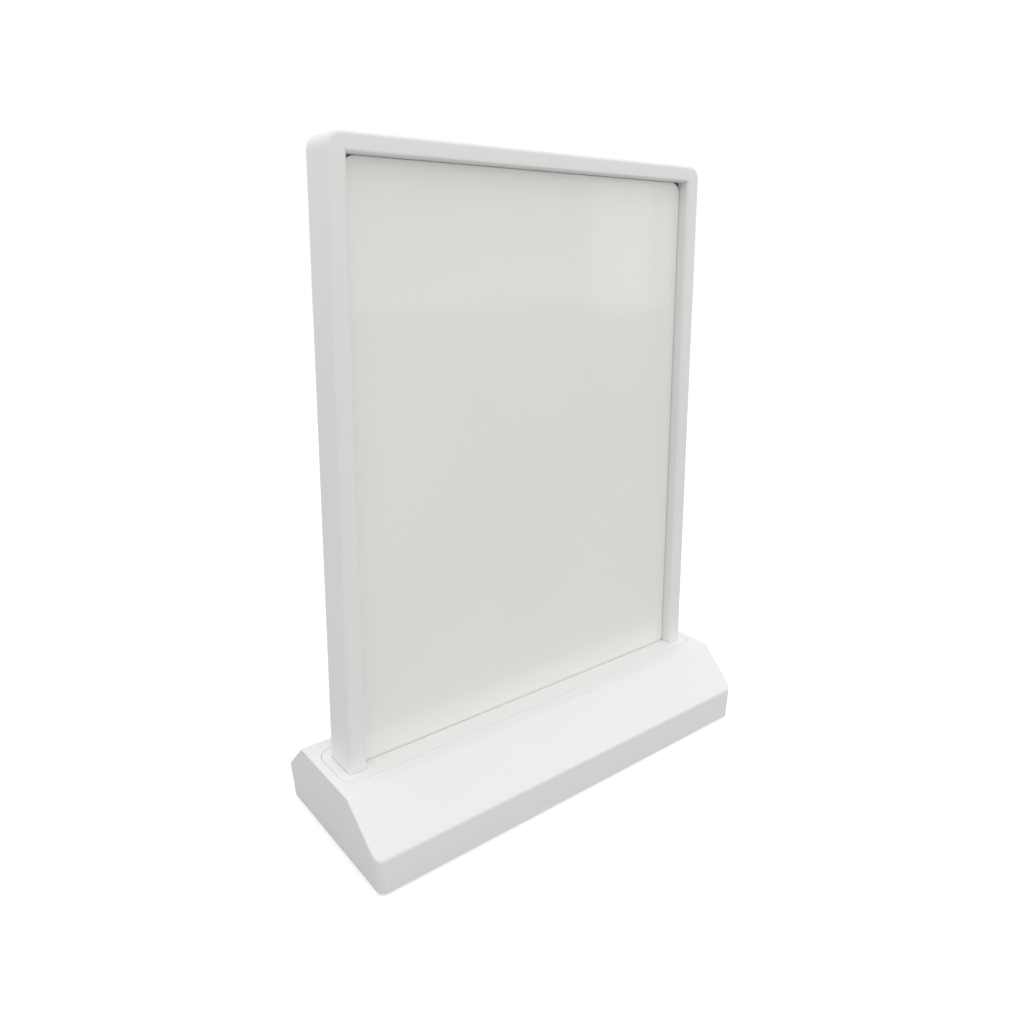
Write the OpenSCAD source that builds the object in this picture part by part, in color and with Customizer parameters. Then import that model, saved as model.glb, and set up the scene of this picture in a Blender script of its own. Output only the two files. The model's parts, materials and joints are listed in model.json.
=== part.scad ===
// Tabletop light panel: a lit sheet in a slim upright frame that plugs into a wedge-sided base.
// Millimetres, +Z up, front face towards -Y. The origin lies on the table under the middle of the base.

/* [Overall] */
// Height of the frame's top above the table
total_h = 230; // [200:1:300]

/* [Base housing] */
// Length of the base along the frame, at the table
base_l = 170; // [162:1:220]
// Distance that each end of the base leans out from the table up to the flat top
end_lean = 3; // [2:0.1:4]
// Depth of the base at the table
base_d = 65; // [62:1:84]
// Height of the base's flat top above the table
base_h = 27; // [25:0.5:32]
// Height of the upright lip above the table, where the slope starts
lip_h = 12.5; // [11:0.1:14]
// Depth of the flat top between the two slopes
top_d = 34; // [30:0.5:40]
// Wall thickness of the housing
base_wall = 2.2; // [1.8:0.1:2.5]
// Radius of the upright edges at the base's ends
base_corner_r = 2.5; // [1:0.5:6]
// Radius of the long edges of the base
base_edge_r = 0.6; // [0.4:0.1:2]

/* [Panel frame] */
// Distance from the base's end, at the table, to the side of the frame
frame_inset = 3.5; // [3.4:0.1:8]
// Thickness of the frame from front to back
frame_t = 14.4; // [12:0.1:14.5]
// Width of the frame's side legs seen from the front
bezel_w = 6.5; // [6:0.1:10]
// Height of the frame's top rail seen from the front
top_bezel = 6.2; // [5:0.1:10]
// Wall left between the light guide's groove and the outside
frame_wall = 2; // [1.6:0.1:2.4]
// Radius of the frame's two top corners
frame_corner_r = 5; // [4:0.5:12]
// Radius along the frame's outer edges
frame_edge_r = 1.3; // [0.5:0.1:2.2]

/* [Lit sheets] */
// Thickness of the clear light guide
guide_t = 3.4; // [2:0.1:3.4]
// Thickness of each opal face sheet
sheet_t = 1; // [0.6:0.1:1.2]
// Thickness of the bonding tape behind a face sheet
tape_t = 0.2; // [0.15:0.05:0.4]
// Width of the bonding tape
tape_w = 3; // [2:0.5:6]
// Gap round a face sheet inside the frame
sheet_gap = 0.5; // [0.4:0.1:1]
// Radius of a face sheet's top corners
sheet_corner_r = 4.5; // [1:0.5:6]
// Thickness of the reflecting tape round the light guide
reflector_t = 0.35; // [0.2:0.05:0.6]

/* [Socket] */
// Height of the socket's floor above the table
socket_top = 8; // [7:0.5:9.5]
// Wall thickness of the socket
socket_wall = 1.2; // [1:0.1:1.4]
// Distance from the frame's side to the edge of the flush plate
plate_side = 3.4; // [2:0.1:3.5]
// Distance from the frame's front to the edge of the flush plate
plate_front = 4; // [2.2:0.1:5]
// Corner radius of the flush plate
plate_corner_r = 5; // [3:0.5:7]
// Seam between the flush plate and the housing
seam = 0.2; // [0.1:0.05:0.4]

/* [Light rail] */
// Height of the rail under the lit sheets
rail_h = 9; // [7.5:0.5:10]
// Thickness of the rail's floor under the lamp strip
rail_floor = 3; // [2:0.1:3.5]
// Thickness of the lamp strip's board
strip_t = 1; // [0.6:0.1:1.2]
// Length of one lamp
lamp_l = 3; // [2:0.1:4]
// Width of one lamp
lamp_w = 1.4; // [1:0.1:2]
// Height of one lamp
lamp_h = 0.7; // [0.4:0.1:0.9]
// Distance between lamps
lamp_pitch = 6; // [5:0.5:12]

/* [Contacts] */
// Diameter of a contact pin
pin_d = 2; // [1.5:0.1:2.4]
// Distance between the two contact pins
pin_pitch = 12; // [10:0.5:16]
// Wall of a contact sleeve
sleeve_wall = 0.6; // [0.4:0.1:0.8]
// Thickness of a contact sleeve's floor
sleeve_floor = 0.3; // [0.2:0.1:0.6]

/* [Bottom cover] */
// Thickness of the bottom cover
cover_t = 1.6; // [1.4:0.1:1.8]
// Height of the rubber feet below the cover
foot_proud = 0.8; // [0.5:0.1:1.2]
// Depth of a foot's recess in the cover
foot_recess = 0.8; // [0.4:0.1:0.9]
// Diameter of a rubber foot
foot_d = 12; // [8:0.5:14]
// Distance from the base's end to a foot's middle
foot_in = 25; // [20:0.5:35]
// Diameter of a screw boss
boss_d = 5; // [4.5:0.1:5.4]

/* [Battery] */
// Diameter of a battery cell
cell_d = 14; // [10:0.5:15.5]
// Length of a battery cell
cell_l = 50; // [40:1:54]
// Wall of the battery tray
tray_wall = 1; // [0.8:0.1:1.2]
// Thickness of the foam pad under the tray
pad_t = 0.5; // [0.3:0.1:0.8]

/* [Control board] */
// Middle of the board along the base
board_x = 34; // [32:0.5:36]
// Length of the board
board_l = 56; // [54:0.5:58]
// Thickness of the board
board_t = 1.2; // [0.8:0.1:1.4]
// Room between the bottom cover and the board
board_lift = 1.8; // [1.7:0.1:2]
// Distance from the middle of the board to the charging port and to the button
port_offset = 16; // [14:0.5:17]
// Width of the charging port's shell
usb_w = 8.94; // [8.6:0.02:9.2]
// Height of the charging port's shell
usb_h = 3.26; // [3:0.02:3.4]
// Length of the charging port's shell
usb_l = 7.35; // [6.5:0.05:8]
// Diameter of the button's cap
button_d = 5; // [4:0.1:5.5]
// Travel of the button
button_travel = 0.8; // [0.4:0.1:0.9]
// Diameter of the charge light's pipe
pipe_d = 2.4; // [1.6:0.1:2.4]

/* [Fasteners and leads] */
// Diameter of the screws' shanks
screw_d = 2; // [1.6:0.1:2.2]
// Diameter of the screws' heads
screw_head_d = 4; // [3.6:0.1:4.2]
// Height of the screws' heads
screw_head_h = 1.2; // [1:0.1:1.4]
// Length of the screws that hold the bottom cover
cover_screw_l = 9; // [6:0.5:10]
// Length of the screws that hold the socket
socket_screw_l = 6.5; // [5:0.5:7]
// Length of the screws that hold the board
board_screw_l = 6; // [4:0.5:7]
// Length of the screws that hold the light rail in the frame
rail_screw_l = 9; // [8:0.5:12]
// Diameter of the leads
lead_d = 1.2; // [0.8:0.1:1.5]

/* [Clearances] */
// Clearance round pieces that slide
fit_gap = 0.3; // [0.2:0.05:0.4]
// Clearance round pieces that are held still
seat_gap = 0.1; // [0.05:0.05:0.15]

/* [Hidden] */
$fn = 48;
arc_steps = 6;
eps = 0.5;
WHITE = "#f3f3f1";
OPAL = "#dfe2da";
CLEAR = "#e8f2ee";
STEEL = "#b9bcc0";
BRASS = "#c9a44c";
GREEN = "#1f6b45";
DARK = "#2b2b2d";

// Heights of the base, from the table up
base_low = foot_proud;
cover_top = base_low + cover_t;
board_low = cover_top + board_lift;
board_top = board_low + board_t;
port_z = board_top + usb_h / 2;
socket_low = socket_top - socket_wall;

// The slope between the lip and the flat top, as a line in the base's section
slope_run = (base_d - top_d) / 2;
slope_rise = base_h - lip_h;
slope_len = norm([slope_run, slope_rise]);
slope_c = (slope_rise * top_d / 2 + slope_run * base_h) / slope_len;

// Turn of the base's leaning ends, and a bar that reaches past them
lean_turn = atan2(end_lean, base_h);
bar_l = base_l + 2 * (end_lean + base_wall);

// The frame and what stands in it
frame_w = base_l - 2 * frame_inset;
frame_low = socket_top + fit_gap;
leg_in = frame_w / 2 - bezel_w;
rail_low = frame_low;
rail_top = rail_low + rail_h;
strip_low = rail_low + rail_floor;
strip_top = strip_low + strip_t;
guide_low = strip_top + lamp_h + 2 * fit_gap;
guide_inset = frame_wall + reflector_t + 2 * fit_gap;
sheet_in = guide_t / 2 + tape_t;
sheet_out = sheet_in + sheet_t;
sheet_low = rail_top + seat_gap;
sheet_half = leg_in - sheet_gap;
sheet_top = total_h - top_bezel - sheet_gap;
slot_half = sheet_out + fit_gap + seat_gap;
tongue_x = frame_w / 2 - frame_wall - fit_gap;
tongue_half = guide_t / 2;
rail_screw_z = (rail_low + guide_low) / 2;
strip_half = frame_w / 2 - rail_screw_l - 2 * fit_gap;

// The flush plate and the socket's ears
plate_l = frame_w + 2 * plate_side;
plate_d = frame_t + 2 * plate_front;
rim_l = frame_w + 2 * (fit_gap + socket_wall);
rim_w = 2;
rim_t = 1.5;
rim_top = base_h - base_wall - seat_gap;
ear_t = 2;
ear_drop = 8;
ear_top = base_h - ear_drop;
ear_w = 7;
ear_off = 1;
ear_x = leg_in - fit_gap - socket_wall - ear_w / 2 - ear_off;
ear_y = plate_d / 2 + rim_w + boss_d / 2 + fit_gap;

// Screw bosses of the bottom cover, and the feet
cover_l = base_l - 2 * (base_wall + fit_gap);
cover_d = base_d - 2 * (base_wall + fit_gap);
boss_off = 1;
boss_x = base_l / 2 - base_wall - boss_d / 2 - boss_off;
boss_y = base_d / 2 - base_wall - boss_d / 2 - boss_off;
boss_corners = [for (x = [-1, 1], y = [-1, 1]) [x * boss_x, y * boss_y]];
boss_spots = concat(boss_corners, [[0, boss_y]]);
foot_spots = [for (x = [-1, 1], y = [-1, 1]) [x * (base_l / 2 - foot_in), y * (boss_y - boss_d)]];
ear_spots = [for (x = [-1, 1], y = [-1, 1]) [x * ear_x, y * ear_y]];

// The battery, in the front half of the base
tray_low = cover_top + pad_t;
tray_floor = 1;
link_t = 0.3;
cell_gap = 2;
cell_z = tray_low + tray_floor + link_t + 2 * seat_gap + cell_d / 2;
cells_half = cell_l + cell_gap / 2;
cap_d = 5.6;
cap_l = 1;
tab_t = 0.4;
tab_w = 8;
tab_tail = 2;
tray_half_l = cells_half + tab_t + 3 * seat_gap + tray_wall;
tray_half_w = cell_d / 2 + 2 * seat_gap + tray_wall;
tray_top = cell_z - tab_tail;
cell_y = slot_half + socket_wall + lead_d + 3 * fit_gap + tray_half_w;
tail_y = tray_half_w - cell_y;

// The board's pieces, in the rear half of the base
wall_in = base_d / 2 - base_wall;
lead_pitch = 2 * lead_d;
board_front = slot_half + socket_wall + 3 * lead_pitch + fit_gap;
board_gap = 0.5;
board_back = wall_in - board_gap;
board_hole_in = 3;
board_hole_x = board_l / 2 - board_hole_in;
board_hole_y = (board_front + board_back) / 2;
chip_w = 5;
chip_h = 1;
chip_pitch = 8;
coil_h = 3;
capacitor_l = 3.2;
capacitor_w = 1.6;
usb_x = board_x - port_offset;
button_x = board_x + port_offset;
usb_mouth_in = 0.4;
usb_mouth = base_d / 2 - usb_mouth_in;
usb_skin = 0.3;
usb_corner_r = usb_h / 2 - seat_gap;
port_gap = 0.35;
tongue_w = 6.7;
tongue_t = 0.7;
tongue_base = 1.5;
tongue_back = usb_mouth - usb_l + usb_skin + seat_gap;
tongue_front = usb_mouth - 2 * usb_mouth_in;
dish_w = 1;
dish_d = button_d + 2 * dish_w;
dish_depth = 0.8;
flange_w = 0.8;
flange_d = button_d + 2 * flange_w;
flange_t = 1;
flange_back = wall_in - fit_gap;
flange_front = flange_back - flange_t;
cap_in = 0.2;
cap_face = base_d / 2 - cap_in;
switch_w = 7;
switch_deep = 3.6;
switch_h = 3.4;
switch_back = flange_front - button_travel - 2 * fit_gap;
plunger_d = 1.8;
plunger_in = 1.2;
connector_w = 6;
connector_deep = 4.5;
connector_h = 4;
connector_y = board_front + seat_gap;
lead_z = connector_h / 2 + board_top;
lead_end = connector_y - lead_d / 2 - seat_gap;
lamp_connector_off = 10;
lamp_connector_x = board_x - lamp_connector_off;
cell_connector_off = 14;
cell_connector_x = board_x + cell_connector_off;
led_w = 2;
led_deep = 1.2;
pipe_inner = 2.2;
pipe_flange_w = 0.3;
pipe_flange_t = 1;

// Contacts between the panel and the base
sleeve_low = cover_top + fit_gap + lead_d + seat_gap;
sleeve_bore = pin_d + 2 * fit_gap;
sleeve_d = sleeve_bore + 2 * sleeve_wall;
pin_low = sleeve_low + sleeve_floor + fit_gap;
lamp_lead_z = sleeve_low - lead_d / 2 - seat_gap;

// Cross recess of a screw's head
recess_l = 2.2;
recess_w = 0.5;
recess_depth = screw_head_h / 2;

function unit(v) = v / norm(v);

// Points of one polygon corner p between its neighbours a and b, rounded by an arc that touches both sides
function corner_arc(a, p, b, r) =
    let (
        u = unit(a - p),
        v = unit(b - p),
        half = acos(u * v) / 2,
        centre = p + unit(u + v) * r / sin(half),
        from = p + u * r / tan(half) - centre,
        to = p + v * r / tan(half) - centre,
        start = atan2(from[1], from[0]),
        turn = atan2(from[0] * to[1] - from[1] * to[0], from * to)
    )
    r == 0 ? [p] : [for (i = [0:arc_steps]) centre + r * [cos(start + turn * i / arc_steps),
                                                          sin(start + turn * i / arc_steps)]];

// A polygon with each corner rounded by its own radius
function rounded(pts, radii) =
    let (n = len(pts))
    [for (i = [0:n - 1]) each corner_arc(pts[(i + n - 1) % n], pts[i], pts[(i + 1) % n], radii[i])];

function rect(w, d) = [[-w / 2, -d / 2], [w / 2, -d / 2], [w / 2, d / 2], [-w / 2, d / 2]];

// Where the slope, moved inwards by inset, crosses a height or a depth
function slope_y(z, inset) = ((slope_c - inset) * slope_len - slope_run * z) / slope_rise;
function slope_z(y, inset) = ((slope_c - inset) * slope_len - slope_rise * y) / slope_run;

// Section of the base across its length, moved inwards by inset and open down to low
function base_section(inset, low) =
    let (d = base_d / 2 - inset, top = base_h - inset, y = slope_y(top, inset), z = slope_z(d, inset))
    [[-d, low], [d, low], [d, z], [y, top], [-y, top], [-d, z]];

// Upright outline of the frame, moved inwards by inset, with square feet at low
function frame_outline(inset, low) =
    let (x = frame_w / 2 - inset, top = total_h - inset, r = frame_corner_r - inset)
    rounded([[-x, low], [x, low], [x, top], [-x, top]], [0, 0, r, r]);

// Outline of a face sheet, moved inwards by inset
function sheet_outline(inset) =
    let (x = sheet_half - inset, top = sheet_top - inset)
    rounded([[-x, sheet_low], [x, sheet_low], [x, top], [-x, top]], [0, 0, sheet_corner_r, sheet_corner_r]);

module along_x(length) {
    rotate([90, 0, 90]) linear_extrude(length, center = true) children();
}

module along_y(from, to) {
    translate([0, to, 0]) rotate([90, 0, 0]) linear_extrude(to - from) children();
}

module along_z(from, to) {
    translate([0, 0, from]) linear_extrude(to - from) children();
}

// A round bar along Y
module rod_y(d, from, to) {
    translate([0, from, 0]) rotate([-90, 0, 0]) cylinder(h = to - from, d = d);
}

// A box that is centred on X and Y and stands on z
module block(w, d, z, h) {
    translate([-w / 2, -d / 2, z]) cube([w, d, h]);
}

// A countersunk screw that points up, with the face of its head at z = 0 and a cross recess in it
module flat_screw(length) {
    difference() {
        union() {
            cylinder(h = screw_head_h, d1 = screw_head_d, d2 = screw_d);
            cylinder(h = length, d = screw_d);
        }
        cross_recess();
    }
}

// A cheese-head screw that points up, with its shoulder at z = 0
module pan_screw(length) {
    difference() {
        union() {
            translate([0, 0, -screw_head_h]) cylinder(h = screw_head_h, d = screw_head_d);
            cylinder(h = length, d = screw_d);
        }
        translate([0, 0, -screw_head_h]) cross_recess();
    }
}

module cross_recess() {
    for (turn = [0, 90]) rotate(turn) block(recess_l, recess_w, -eps, recess_depth + eps);
}

// A prism that ends at one leaning end of the base, moved inwards by inset, with its upright edges rounded by r
module end_prism(side, inset, r) {
    d = base_d / 2;
    far = -2 * base_l;
    translate([side * base_l / 2, 0, 0]) rotate([0, lean_turn, 90 * (1 - side)]) along_z(-base_l, base_l) {
        polygon(rounded([[far, -d], [-inset, -d], [-inset, d], [far, d]], [0, r, r, 0]));
    }
}

// What lies between the base's two ends
module between_ends(inset, r) {
    intersection() {
        children();
        end_prism(-1, inset, r);
        end_prism(1, inset, r);
    }
}

// The socket's slot seen from above: a wide pocket for each leg and a narrow slot for the sheets between them
module slot_plan(grow) {
    square([2 * (leg_in + bezel_w / 2), 2 * (slot_half + grow)], center = true);
    for (side = [-1, 1]) {
        x_in = leg_in - fit_gap - grow;
        x_out = frame_w / 2 + fit_gap + grow;
        r = frame_edge_r + fit_gap + grow;
        translate([side * (x_in + x_out) / 2, 0]) {
            pocket = rect(x_out - x_in, frame_t + 2 * (fit_gap + grow));
            polygon(rounded(pocket, side > 0 ? [0, r, r, 0] : [r, 0, 0, r]));
        }
    }
}

module bosses() {
    for (p = boss_spots) translate([p[0], p[1], cover_top]) cylinder(h = base_h, d = boss_d);
    for (p = ear_spots) translate([p[0], p[1], ear_top]) cylinder(h = base_h, d = boss_d);
    for (side = [-1, 1]) {
        translate([board_x + side * board_hole_x, board_hole_y, board_top]) cylinder(h = base_h, d = boss_d);
    }
}

module pilot_holes() {
    pilot = screw_d + seat_gap;
    for (p = boss_spots) translate([p[0], p[1], base_low]) cylinder(h = cover_screw_l + eps, d = pilot);
    for (p = ear_spots) translate([p[0], p[1], ear_top - ear_t]) cylinder(h = socket_screw_l + eps, d = pilot);
    for (side = [-1, 1]) translate([board_x + side * board_hole_x, board_hole_y, board_low]) {
        cylinder(h = board_screw_l + eps, d = pilot);
    }
}

// Holes in the rear lip for the charging port, the charge light and the button
module rear_holes() {
    translate([usb_x, 0, port_z]) {
        port = rect(usb_w + 2 * port_gap, usb_h + 2 * port_gap);
        along_y(wall_in - eps, base_d / 2 + eps) polygon(rounded(port, [for (i = [0:3]) usb_h / 2]));
    }
    translate([board_x, 0, port_z]) rod_y(pipe_d + seat_gap, wall_in - eps, base_d / 2 + eps);
    translate([button_x, 0, port_z]) {
        rod_y(button_d + 2 * fit_gap, wall_in - eps, base_d / 2 + eps);
        rod_y(dish_d, base_d / 2 - dish_depth, base_d / 2 + eps);
    }
}

module base_housing() {
    color(WHITE) difference() {
        union() {
            difference() {
                e = base_edge_r;
                between_ends(0, base_corner_r) {
                    along_x(bar_l) polygon(rounded(base_section(0, base_low), [0, 0, e, e, e, e]));
                }
                between_ends(base_wall, 0) along_x(bar_l) polygon(base_section(base_wall, 0));
            }
            between_ends(base_wall / 2, 0) intersection() {
                along_x(bar_l) polygon(base_section(base_wall / 2, base_low));
                bosses();
            }
        }
        along_z(base_h - base_wall - eps, base_h + eps) {
            r = plate_corner_r + seam;
            polygon(rounded(rect(plate_l + 2 * seam, plate_d + 2 * seam), [r, r, r, r]));
        }
        pilot_holes();
        rear_holes();
    }
}

module panel_socket() {
    r = plate_corner_r;
    color(WHITE) difference() {
        union() {
            along_z(rim_top - seat_gap, base_h) polygon(rounded(rect(plate_l, plate_d), [r, r, r, r]));
            block(rim_l, plate_d + 2 * rim_w, rim_top - rim_t, rim_t);
            along_z(socket_low, rim_top) slot_plan(socket_wall);
            for (p = ear_spots) translate([p[0], p[1] / 2, 0]) {
                block(ear_w, abs(p[1]) + boss_d, ear_top - ear_t - seat_gap, ear_t);
            }
            for (side = [-1, 1]) translate([side * pin_pitch / 2, 0, sleeve_low]) {
                cylinder(h = socket_low - sleeve_low + eps, d = sleeve_d + 2 * socket_wall);
            }
        }
        along_z(socket_top, base_h + eps) slot_plan(0);
        for (p = ear_spots) translate([p[0], p[1], 0]) cylinder(h = ear_top, d = screw_d + 2 * seat_gap);
        for (side = [-1, 1]) translate([side * pin_pitch / 2, 0, 0]) {
            cylinder(h = socket_top + eps, d = sleeve_d + seat_gap);
        }
    }
}

module socket_screws() {
    color(STEEL) for (p = ear_spots) translate([p[0], p[1], ear_top - ear_t - 2 * seat_gap]) {
        pan_screw(socket_screw_l);
    }
}

module contact_sleeves() {
    color(BRASS) for (side = [-1, 1]) translate([side * pin_pitch / 2, 0, sleeve_low]) difference() {
        cylinder(h = socket_top - sleeve_low, d = sleeve_d);
        translate([0, 0, sleeve_floor]) cylinder(h = socket_top, d = sleeve_bore);
    }
}

module bottom_cover() {
    color(WHITE) difference() {
        block(cover_l, cover_d, base_low, cover_t);
        for (p = boss_spots) translate([p[0], p[1], base_low]) {
            cylinder(h = screw_head_h, d1 = screw_head_d + 2 * seat_gap, d2 = screw_d + 2 * seat_gap);
            translate([0, 0, -eps]) cylinder(h = cover_t + 2 * eps, d = screw_d + 2 * seat_gap);
        }
        for (p = foot_spots) translate([p[0], p[1], base_low - eps]) {
            cylinder(h = foot_recess + eps, d = foot_d + 2 * seat_gap);
        }
    }
}

module cover_screws() {
    color(STEEL) for (p = boss_spots) translate([p[0], p[1], base_low]) flat_screw(cover_screw_l);
}

module rubber_feet() {
    color(DARK) for (p = foot_spots) translate([p[0], p[1], 0]) {
        cylinder(h = foot_proud + foot_recess, d = foot_d);
    }
}

module battery_pad() {
    color(DARK) translate([0, -cell_y, 0]) {
        block(2 * (tray_half_l - tray_wall), 2 * (tray_half_w - tray_wall), cover_top, pad_t);
    }
}

module battery_tray() {
    color(DARK) translate([0, -cell_y, 0]) difference() {
        block(2 * tray_half_l, 2 * tray_half_w, tray_low, tray_top - tray_low);
        block(2 * (tray_half_l - tray_wall), 2 * (tray_half_w - tray_wall), tray_low + tray_floor, cell_d);
    }
}

module battery_cells() {
    color("#2f6fb0") for (side = [-1, 1]) translate([side * cell_gap / 2, -cell_y, cell_z]) {
        rotate([0, side * 90, 0]) union() {
            translate([0, 0, cap_l]) cylinder(h = cell_l - cap_l, d = cell_d);
            cylinder(h = cap_l + eps, d = cap_d);
        }
    }
}

// Nickel strips: the middle one joins the two positive ends, and the long one the two negative ends
module battery_tabs() {
    color(STEEL) {
        translate([0, -cell_y, 0]) block(cell_gap - 2 * seat_gap, tab_w, cell_z - tab_w / 2, tab_w);
        translate([-cell_gap / 2 + seat_gap, -cell_y, cell_z]) {
            cube([cell_gap - 2 * seat_gap, tray_half_w, tab_tail]);
        }
    }
    color(STEEL) {
        strip_z = tray_low + tray_floor + seat_gap;
        translate([0, -cell_y, 0]) block(2 * (cells_half + seat_gap + tab_t), tab_w / 2, strip_z, link_t);
        for (side = [-1, 1]) translate([side * (cells_half + seat_gap + tab_t / 2), -cell_y, 0]) {
            block(tab_t, tab_w, strip_z, cell_z + tab_w / 2 - strip_z);
        }
        translate([cells_half + seat_gap, -cell_y, cell_z]) cube([tab_t, tray_half_w, tab_tail]);
    }
}

// A lead along a list of points
module lead(points) {
    for (i = [0:len(points) - 2]) hull() {
        translate(points[i]) sphere(d = lead_d, $fn = 12);
        translate(points[i + 1]) sphere(d = lead_d, $fn = 12);
    }
}

module battery_leads() {
    y0 = tail_y + lead_d / 2 + seat_gap;
    z0 = cell_z + tab_tail / 2;
    under = (cover_top + socket_low) / 2;
    y1 = board_front - 2 * lead_pitch;
    y2 = board_front - lead_pitch;
    for (wire = [["#b02020", 0, cell_connector_x - lead_pitch / 2],
                 ["#202020", cells_half + seat_gap + tab_t / 2, cell_connector_x + lead_pitch / 2]]) {
        x = wire[2];
        bend = wire[1] == 0 ? [[x - lead_pitch, y0, z0]] : [];
        start = concat([[wire[1], y0, z0]], bend);
        rest = [[x, y0, under], [x, y1, under], [x, y2, lead_z], [x, lead_end, lead_z]];
        color(wire[0]) lead(concat(start, rest));
    }
}

module control_board() {
    notch_w = flange_d + 4 * fit_gap;
    color(GREEN) difference() {
        translate([board_x - board_l / 2, board_front, board_low]) {
            cube([board_l, board_back - board_front, board_t]);
        }
        translate([button_x, 0, 0]) {
            translate([-notch_w / 2, switch_back + seat_gap, 0]) cube([notch_w, base_d, base_h]);
        }
        for (side = [-1, 1]) translate([board_x + side * board_hole_x, board_hole_y, 0]) {
            cylinder(h = base_h, d = screw_d + 2 * seat_gap);
        }
    }
}

module board_screws() {
    color(STEEL) for (side = [-1, 1]) {
        x = board_x + side * board_hole_x;
        translate([x, board_hole_y, board_low - seat_gap]) pan_screw(board_screw_l);
    }
}

// Charging chip, lamp driver, coil and two capacitors in a row behind the lead connectors.
// Each has its place along the board, width, depth and height.
module board_chips() {
    coil = [0, chip_w, chip_w, coil_h];
    chips = [for (side = [-1, 1]) [side * chip_pitch, chip_w, chip_w, chip_h]];
    capacitors = [for (side = [-1, 1]) [side * 2 * chip_pitch, capacitor_l, capacitor_w, chip_h]];
    row = connector_y + connector_deep + fit_gap;
    color(DARK) for (c = concat([coil], chips, capacitors)) translate([board_x + c[0], row + c[2] / 2, 0]) {
        block(c[1], c[2], board_top, c[3]);
    }
}

module lead_connectors() {
    color(WHITE) for (x = [lamp_connector_x, cell_connector_x]) {
        translate([x, connector_y + connector_deep / 2, 0]) {
            block(connector_w, connector_deep, board_top, connector_h);
        }
    }
}

module lamp_leads() {
    for (wire = [["#b02020", 1, 2], ["#202020", -1, 1]]) {
        x0 = wire[1] * pin_pitch / 2;
        x1 = lamp_connector_x + wire[1] * lead_pitch / 2;
        y = board_front - wire[2] * lead_pitch;
        color(wire[0]) {
            lead([[x0, 0, lamp_lead_z], [x0, y, lamp_lead_z], [x1, y, lead_z], [x1, lead_end, lead_z]]);
        }
    }
}

module usb_plan(inset) {
    r = usb_corner_r - inset;
    polygon(rounded(rect(usb_w - 2 * inset, usb_h - 2 * inset), [r, r, r, r]));
}

module usb_shell() {
    color(STEEL) translate([usb_x, 0, port_z]) difference() {
        along_y(usb_mouth - usb_l, usb_mouth) usb_plan(0);
        along_y(usb_mouth - usb_l + usb_skin, usb_mouth + eps) usb_plan(usb_skin);
    }
}

module usb_tongue() {
    color(DARK) translate([usb_x, 0, port_z]) {
        along_y(tongue_back, tongue_back + tongue_base) usb_plan(usb_skin + seat_gap);
        along_y(tongue_back, tongue_front) square([tongue_w, tongue_t], center = true);
    }
}

module switch_body() {
    color(DARK) translate([button_x, switch_back - switch_deep, port_z]) difference() {
        translate([-switch_w / 2, 0, board_top - port_z]) cube([switch_w, switch_deep, switch_h]);
        rod_y(plunger_d + 2 * fit_gap, switch_deep - plunger_in - button_travel - fit_gap, switch_deep + eps);
    }
}

module switch_plunger() {
    color("#d8d8d4") translate([button_x, 0, port_z]) rod_y(plunger_d, switch_back - plunger_in, flange_front);
}

module power_button() {
    color(WHITE) translate([button_x, 0, port_z]) {
        rod_y(flange_d, flange_front, flange_back);
        rod_y(button_d, flange_front, cap_face);
    }
}

module charge_led() {
    color("#f2f0d8") translate([board_x, wall_in - pipe_inner - fit_gap - led_deep / 2, 0]) {
        block(led_w, led_deep, board_top, port_z - board_top + led_w / 2);
    }
}

module light_pipe() {
    color(CLEAR) translate([board_x, 0, port_z]) {
        rod_y(pipe_d, wall_in - pipe_inner, base_d / 2 - seat_gap);
        rod_y(pipe_d + 2 * pipe_flange_w, wall_in - seat_gap - pipe_flange_t, wall_in - seat_gap);
    }
}

module panel_frame() {
    e = frame_edge_r;
    color(WHITE) difference() {
        intersection() {
            along_y(-frame_t / 2, frame_t / 2) polygon(frame_outline(0, frame_low));
            along_z(0, total_h) polygon(rounded(rect(frame_w, frame_t), [e, e, e, e]));
            along_x(frame_w) translate([0, total_h / 2]) {
                polygon(rounded(rect(frame_t, total_h), [0, 0, e, e]));
            }
        }
        translate([0, 0, -eps]) along_y(-frame_t, frame_t) {
            translate([-leg_in, 0]) square([2 * leg_in, total_h - top_bezel + eps]);
        }
        along_y(-guide_t / 2 - seat_gap, guide_t / 2 + seat_gap) polygon(frame_outline(frame_wall, 0));
        for (side = [-1, 1]) translate([side * frame_w / 2, 0, rail_screw_z]) rotate([0, -side * 90, 0]) {
            translate([0, 0, -eps]) cylinder(h = frame_wall + 2 * eps, d = screw_d + 2 * seat_gap);
            cylinder(h = screw_head_h, d1 = screw_head_d + 2 * seat_gap, d2 = screw_d + 2 * seat_gap);
        }
    }
}

module front_sheet() {
    color(OPAL) along_y(-sheet_out, -sheet_in) polygon(sheet_outline(0));
}

module rear_sheet() {
    color(OPAL) along_y(sheet_in, sheet_out) polygon(sheet_outline(0));
}

// Bonding tape round the sides and the top of a face sheet, with its bottom side open
module tape_plan() {
    edge = 0.5;
    difference() {
        polygon(sheet_outline(edge));
        translate([0, sheet_low - eps]) {
            x = sheet_half - edge - tape_w;
            translate([-x, 0]) square([2 * x, sheet_top - sheet_low - edge - tape_w + eps]);
        }
    }
}

module front_tape() {
    color(WHITE) along_y(-sheet_in, -guide_t / 2) tape_plan();
}

module rear_tape() {
    color(WHITE) along_y(guide_t / 2, sheet_in) tape_plan();
}

module light_guide() {
    color(CLEAR) along_y(-guide_t / 2, guide_t / 2) polygon(frame_outline(guide_inset, guide_low));
}

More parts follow.
